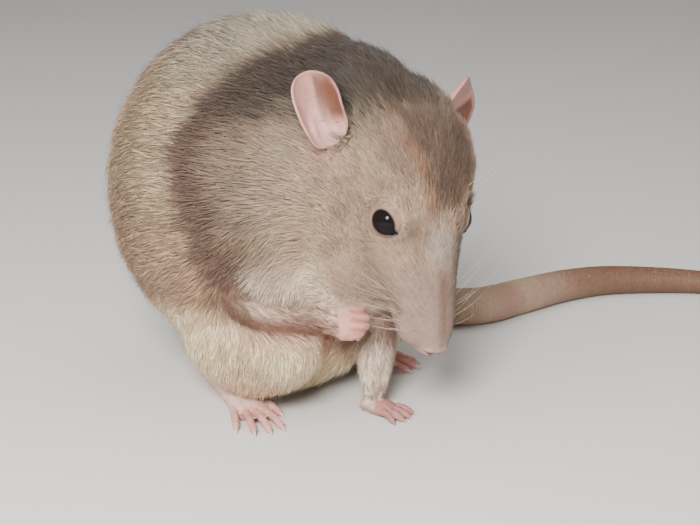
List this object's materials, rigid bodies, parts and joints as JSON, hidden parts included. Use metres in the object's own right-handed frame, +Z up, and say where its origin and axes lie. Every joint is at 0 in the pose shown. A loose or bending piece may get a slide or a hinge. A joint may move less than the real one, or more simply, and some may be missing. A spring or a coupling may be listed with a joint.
{
  "type": "pet rat figure",
  "caption": "Life-size still figure of a hooded fancy rat, hunched on its haunches with head bowed, a forepaw at its mouth and its tail along the floor.",
  "frame": {"origin": "the floor under the middle of the flat of its seat", "axes": "the rat faces -Y, +X is its left, +Z is up"},
  "size_m": [0.175, 0.1387, 0.0904],
  "materials": {
    "hood_fur": "short taupe fur",
    "pale_fur": "short cream fur",
    "ear_skin": "thin bare skin",
    "paw_skin": "bare pink skin",
    "tail_skin": "finely ringed scaly skin",
    "eye": "wet black eye"
  },
  "bodies": {
    "root": {"ear_left": "ear_skin", "ear_right": "ear_skin", "eye_left": "eye", "eye_right": "eye", "forearm_left": "pale_fur", "forearm_right": "pale_fur", "hand_left": "paw_skin", "hand_right": "paw_skin", "head": "hood_fur", "hind_foot_left": "paw_skin", "hind_foot_right": "paw_skin", "lower_jaw": "pale_fur", "neck": "hood_fur", "tail_1": "tail_skin", "tail_2": "tail_skin", "tail_3": "tail_skin", "tail_4": "tail_skin", "thigh_left": "pale_fur", "thigh_right": "pale_fur", "torso": "pale_fur", "upper_arm_left": "hood_fur", "upper_arm_right": "hood_fur"}
  },
  "joints": []
}
